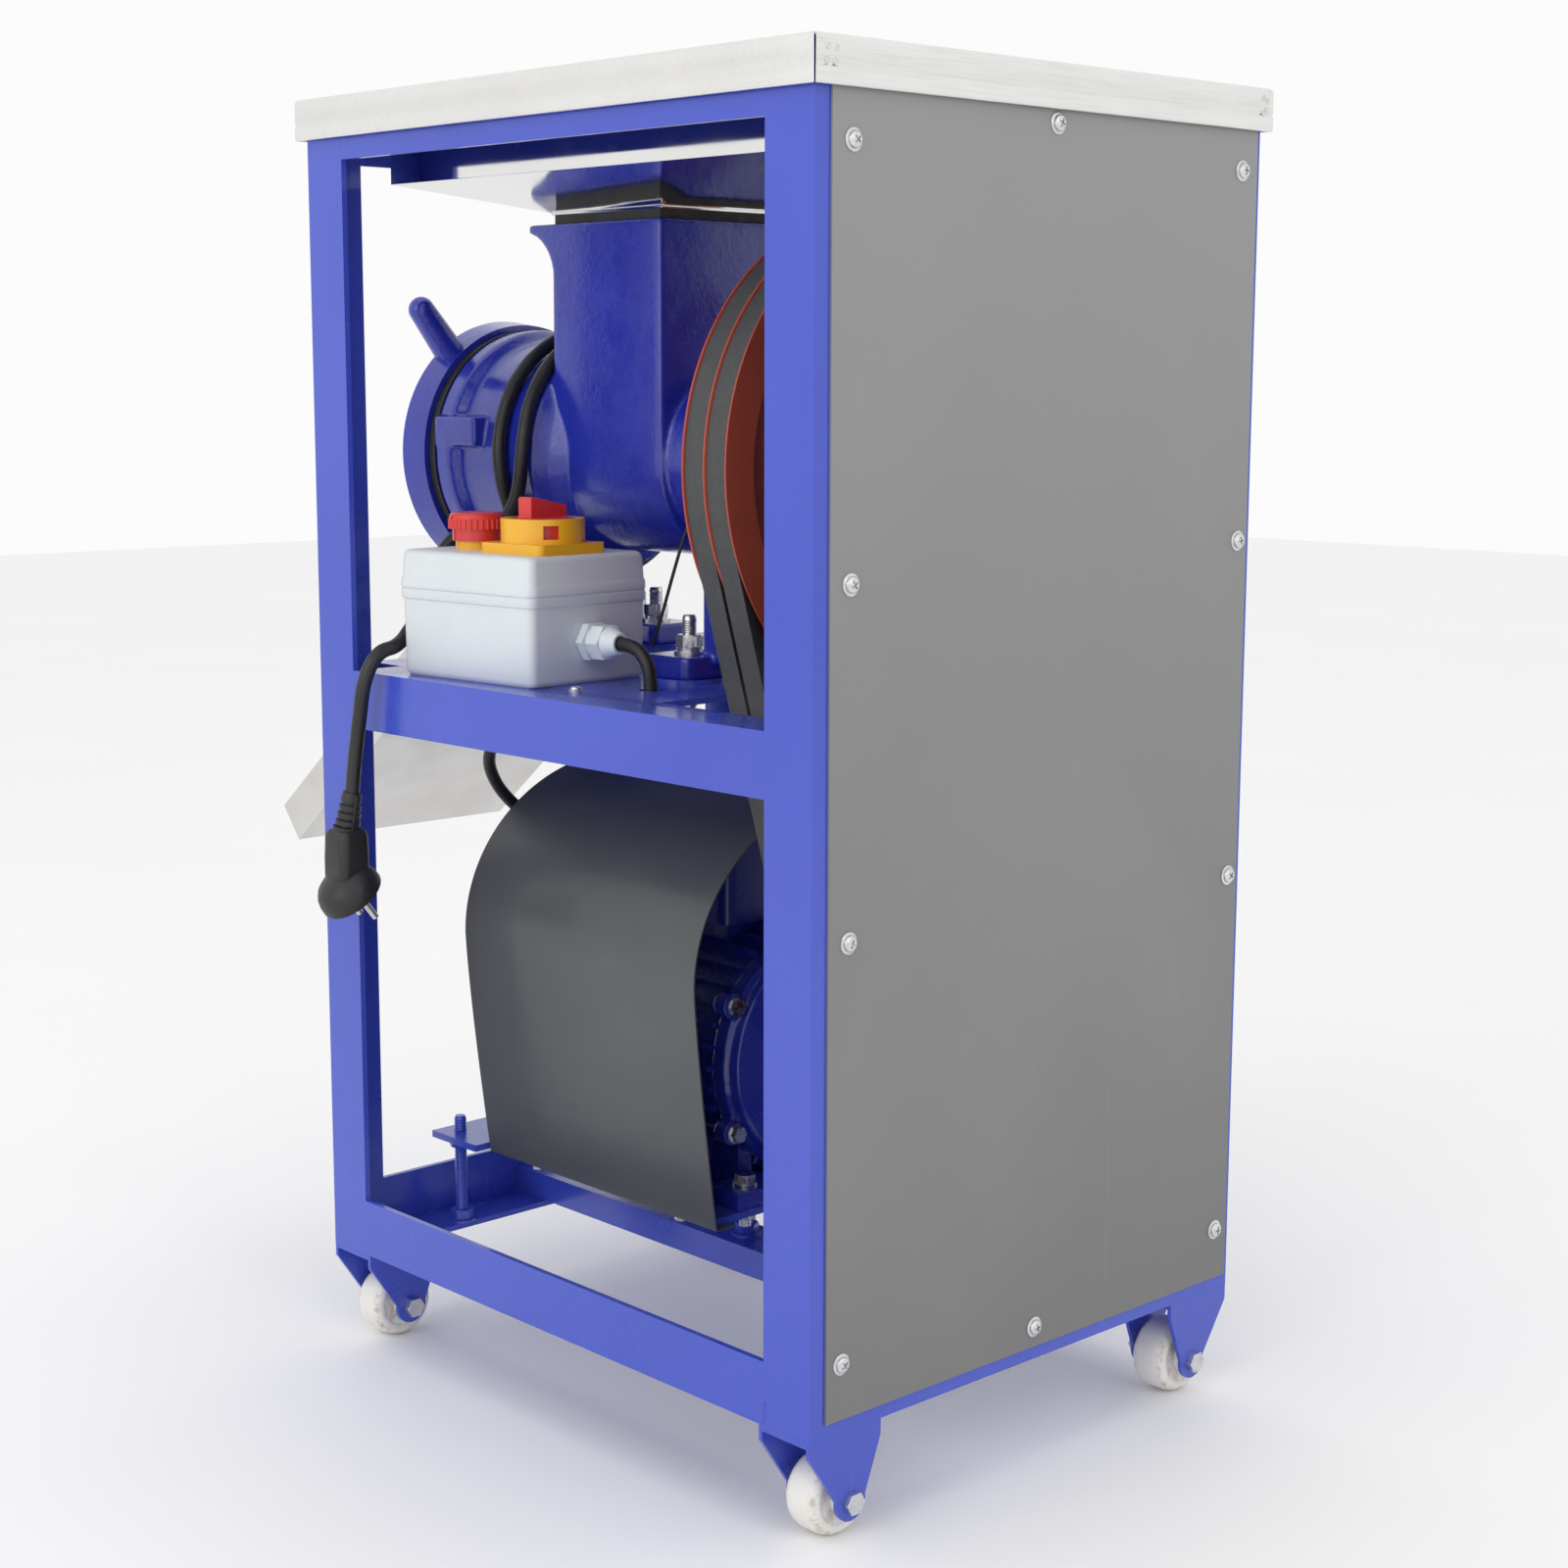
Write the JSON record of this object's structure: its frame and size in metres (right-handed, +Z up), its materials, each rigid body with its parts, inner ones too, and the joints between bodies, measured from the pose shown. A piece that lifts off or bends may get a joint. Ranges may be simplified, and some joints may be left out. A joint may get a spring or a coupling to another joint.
{
  "type": "meat grinder",
  "caption": "Belt-driven meat grinder on a wheeled angle-iron stand, with a feed tray, outlet chute, covered motor, isolator and emergency stop.",
  "frame": {"origin": "point on the floor under the middle of the stand's plan", "axes": "+Z up; -Y towards the ring nut, outlet and chute; +Y towards the grey rear panel; +X towards the open side with the switch box"},
  "size_m": [0.451, 0.7141, 0.876],
  "materials": {
    "blue_paint": "gloss",
    "blue_casting": "gloss",
    "motor_trim": "gloss",
    "stainless": "brushed",
    "grey_panel": "satin",
    "grey_cover": "satin",
    "zinc": "satin",
    "red_paint": "satin",
    "belt_rubber": "matte",
    "black_rubber": "matte",
    "cord_black": "satin",
    "plug_black": "matte",
    "plug_metal": "polished",
    "nylon_white": "satin",
    "box_plastic": "satin",
    "gland_plastic": "satin",
    "yellow_plastic": "gloss",
    "red_plastic": "gloss",
    "black_plastic": "matte",
    "screw_steel": "satin",
    "machined_steel": "machined",
    "cast_worm": "tinned"
  },
  "bodies": {
    "stand": {"bearing_cover": "blue_casting", "cable_glands": "gland_plastic", "caster_axles": "zinc", "caster_forks": "blue_paint", "chute": "stainless", "contact_blocks": "black_plastic", "drive_belts": "belt_rubber", "fan_cowl": "motor_trim", "feed_tray": "stainless", "foot_bolts": "zinc", "foot_spacers": "blue_paint", "frame_bottom_rails": "blue_paint", "frame_mid_rails": "blue_paint", "frame_posts": "blue_paint", "frame_top_rails": "blue_paint", "grinder_body": "blue_casting", "hex_screws": "zinc", "isolator_collar": "yellow_plastic", "jack_studs": "blue_paint", "lid_screws": "screw_steel", "mains_lead_coil": "cord_black", "mains_lead_feed": "cord_black", "mains_lead_tail": "cord_black", "motor_cover": "grey_cover", "motor_foot_bolts": "zinc", "motor_front_shield": "blue_casting", "motor_housing": "blue_casting", "motor_lead": "cord_black", "motor_plate": "blue_paint", "motor_rail": "blue_paint", "motor_rear_shield": "blue_casting", "motor_terminal_box": "motor_trim", "orifice_plate": "machined_steel", "panel_screws": "zinc", "plug_body": "plug_black", "plug_pins": "plug_metal", "rear_panel": "grey_panel", "rubber_seals": "black_rubber", "shaft_bearings": "machined_steel", "shelf_plate": "blue_paint", "stop_collar": "yellow_plastic", "switch_box_base": "box_plastic", "switch_box_lid": "box_plastic", "top_cover": "stainless"},
    "drive": {"worm": "cast_worm", "knife": "machined_steel", "drive_shaft": "machined_steel", "big_pulley": "red_paint", "pulley_key": "machined_steel", "pulley_bolt": "zinc"},
    "motor_rotor": {"motor_shaft": "machined_steel", "motor_fan": "black_plastic", "motor_pulley": "red_paint"},
    "ring_nut": {"ring_nut": "blue_casting"},
    "stop_button": {"stop_button": "red_plastic"},
    "isolator_knob": {"isolator_knob": "red_plastic"},
    "wheel_front_left": {"wheel_front_left": "nylon_white"},
    "wheel_front_right": {"wheel_front_right": "nylon_white"},
    "wheel_rear_left": {"wheel_rear_left": "nylon_white"},
    "wheel_rear_right": {"wheel_rear_right": "nylon_white"}
  },
  "joints": [
    {"name": "worm_spin", "type": "hinge", "parent": "stand", "child": "drive", "pos_m": [0, 0.11, 0.636], "axis": [0, 1, 0], "continuous": true},
    {"name": "motor_spin", "type": "hinge", "parent": "stand", "child": "motor_rotor", "pos_m": [0, 0.11, 0.234], "axis": [0, 1, 0], "continuous": true},
    {"name": "ring_nut_turn", "type": "hinge", "parent": "stand", "child": "ring_nut", "pos_m": [0, -0.284, 0.636], "axis": [0, 1, 0], "range_deg": [0, 120]},
    {"name": "stop_press", "type": "slide", "parent": "stand", "child": "stop_button", "axis": [0, 0, 1], "range_m": [-0.004, 0], "stiffness_N_per_m": 1500, "springref_m": 0.001},
    {"name": "isolator_turn", "type": "hinge", "parent": "stand", "child": "isolator_knob", "pos_m": [0.13562, -0.07701, 0.576], "axis": [0, 0, 1], "range_deg": [0, 90]},
    {"name": "wheel_front_left_roll", "type": "hinge", "parent": "stand", "child": "wheel_front_left", "pos_m": [-0.165, -0.2265, 0.025], "axis": [0, 1, 0], "continuous": true},
    {"name": "wheel_front_right_roll", "type": "hinge", "parent": "stand", "child": "wheel_front_right", "pos_m": [0.165, -0.2265, 0.025], "axis": [0, 1, 0], "continuous": true},
    {"name": "wheel_rear_left_roll", "type": "hinge", "parent": "stand", "child": "wheel_rear_left", "pos_m": [-0.165, 0.2265, 0.025], "axis": [0, 1, 0], "continuous": true},
    {"name": "wheel_rear_right_roll", "type": "hinge", "parent": "stand", "child": "wheel_rear_right", "pos_m": [0.165, 0.2265, 0.025], "axis": [0, 1, 0], "continuous": true}
  ],
  "couplings": [
    {"joint": "motor_spin", "follows": "worm_spin", "ratio": 3.42}
  ]
}
